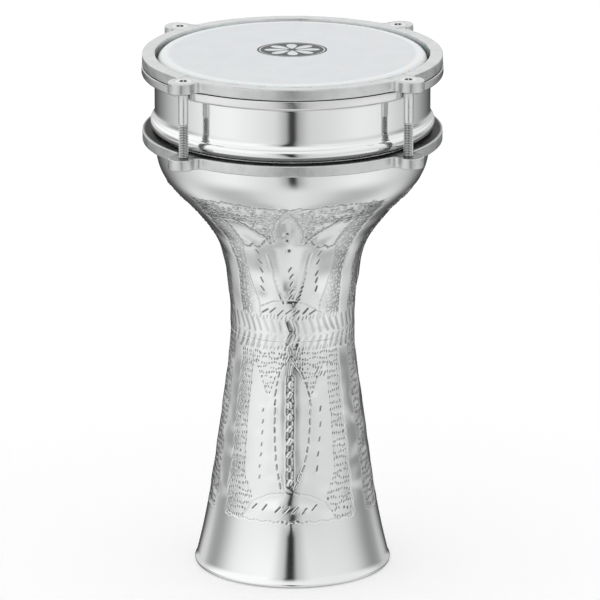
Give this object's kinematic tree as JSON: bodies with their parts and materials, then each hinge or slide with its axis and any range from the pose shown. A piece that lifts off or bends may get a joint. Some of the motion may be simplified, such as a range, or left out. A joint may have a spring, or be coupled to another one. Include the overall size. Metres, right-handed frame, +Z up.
{
  "type": "darbuka",
  "caption": "Goblet-shaped metal hand drum with a flared foot, narrow waist, clear-rimmed white film head, cast tension hoop, lower ring and recessed tension screws.",
  "frame": {"origin": "on the drum's axis, in the plane of the foot rim", "axes": "+Z up the drum's axis to the head; -Y is the front; the screws stand at 45 degrees to X and Y"},
  "size_m": [0.1804, 0.1804, 0.318],
  "materials": {
    "shell_aluminium": "polished, with a chased and hammered pattern",
    "cast_aluminium": "sand cast, satin",
    "channel_aluminium": "bright rolled",
    "film": "smooth white polyester film",
    "resin": "cured clear resin",
    "screw_steel": "bright zinc plated"
  },
  "bodies": {
    "shell": {"upper_shell": "shell_aluminium", "lower_shell": "shell_aluminium", "lower_ring": "cast_aluminium"},
    "drumhead": {"drumhead_film": "film", "drumhead_flesh_hoop": "channel_aluminium", "drumhead_resin_ring": "resin"},
    "tension_hoop": {"tension_hoop": "cast_aluminium"},
    "tension_screw_front_right": {"tension_screw_front_right": "screw_steel"},
    "tension_screw_rear_right": {"tension_screw_rear_right": "screw_steel"},
    "tension_screw_rear_left": {"tension_screw_rear_left": "screw_steel"},
    "tension_screw_front_left": {"tension_screw_front_left": "screw_steel"}
  },
  "joints": [
    {"name": "drumhead_lift_off", "type": "slide", "parent": "shell", "child": "drumhead", "axis": [0, 0, 1], "range_m": [0, 0.06]},
    {"name": "tension_hoop_rise", "type": "slide", "parent": "drumhead", "child": "tension_hoop", "axis": [0, 0, 1], "range_m": [0, 0.006]},
    {"name": "tension_screw_front_right_turn", "type": "hinge", "parent": "tension_hoop", "child": "tension_screw_front_right", "pos_m": [0.06618, -0.06618, 0.318], "axis": [0, 0, 1], "range_deg": [0, 2160]},
    {"name": "tension_screw_rear_right_turn", "type": "hinge", "parent": "tension_hoop", "child": "tension_screw_rear_right", "pos_m": [0.06618, 0.06618, 0.318], "axis": [0, 0, 1], "range_deg": [0, 2160]},
    {"name": "tension_screw_rear_left_turn", "type": "hinge", "parent": "tension_hoop", "child": "tension_screw_rear_left", "pos_m": [-0.06618, 0.06618, 0.318], "axis": [0, 0, 1], "range_deg": [0, 2160]},
    {"name": "tension_screw_front_left_turn", "type": "hinge", "parent": "tension_hoop", "child": "tension_screw_front_left", "pos_m": [-0.06618, -0.06618, 0.318], "axis": [0, 0, 1], "range_deg": [0, 2160]}
  ],
  "couplings": [
    {"joint": "tension_screw_front_right_turn", "follows": "tension_hoop_rise", "rad_per_m": 6283.2},
    {"joint": "tension_screw_rear_right_turn", "follows": "tension_hoop_rise", "rad_per_m": 6283.2},
    {"joint": "tension_screw_rear_left_turn", "follows": "tension_hoop_rise", "rad_per_m": 6283.2},
    {"joint": "tension_screw_front_left_turn", "follows": "tension_hoop_rise", "rad_per_m": 6283.2}
  ]
}
